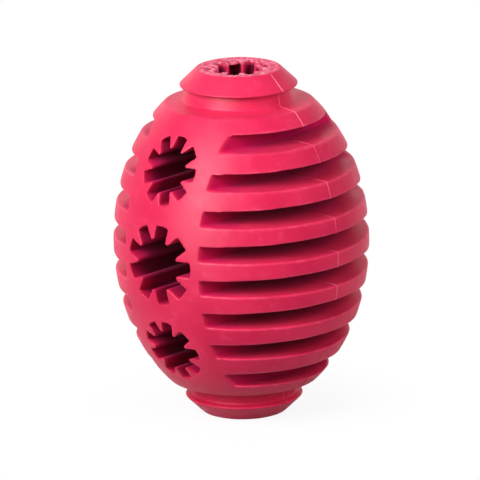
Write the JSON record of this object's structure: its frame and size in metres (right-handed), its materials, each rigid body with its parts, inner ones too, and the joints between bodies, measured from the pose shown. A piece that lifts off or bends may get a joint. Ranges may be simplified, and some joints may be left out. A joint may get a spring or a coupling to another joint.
{
  "type": "treat dispensing rugby ball",
  "caption": "Oval rubber dog toy with ribbed sides, plain bands pierced by toothed treat holes, and flared caps round a toothed bore.",
  "frame": {"origin": "middle of the lower end face, on which the ball stands", "axes": "+Z along the ball from its lower end to its upper end, -Y out of the front band with its three holes, +Y out of the back band, +X and -X out of the ribbed sides where the seam runs"},
  "size_m": [0.076, 0.075, 0.105],
  "materials": {
    "rubber": "matte moulded raspberry-red natural rubber, even, with a faint sheen at shallow angles"
  },
  "bodies": {
    "root": {"front_half": "rubber", "back_half": "rubber"}
  },
  "joints": []
}
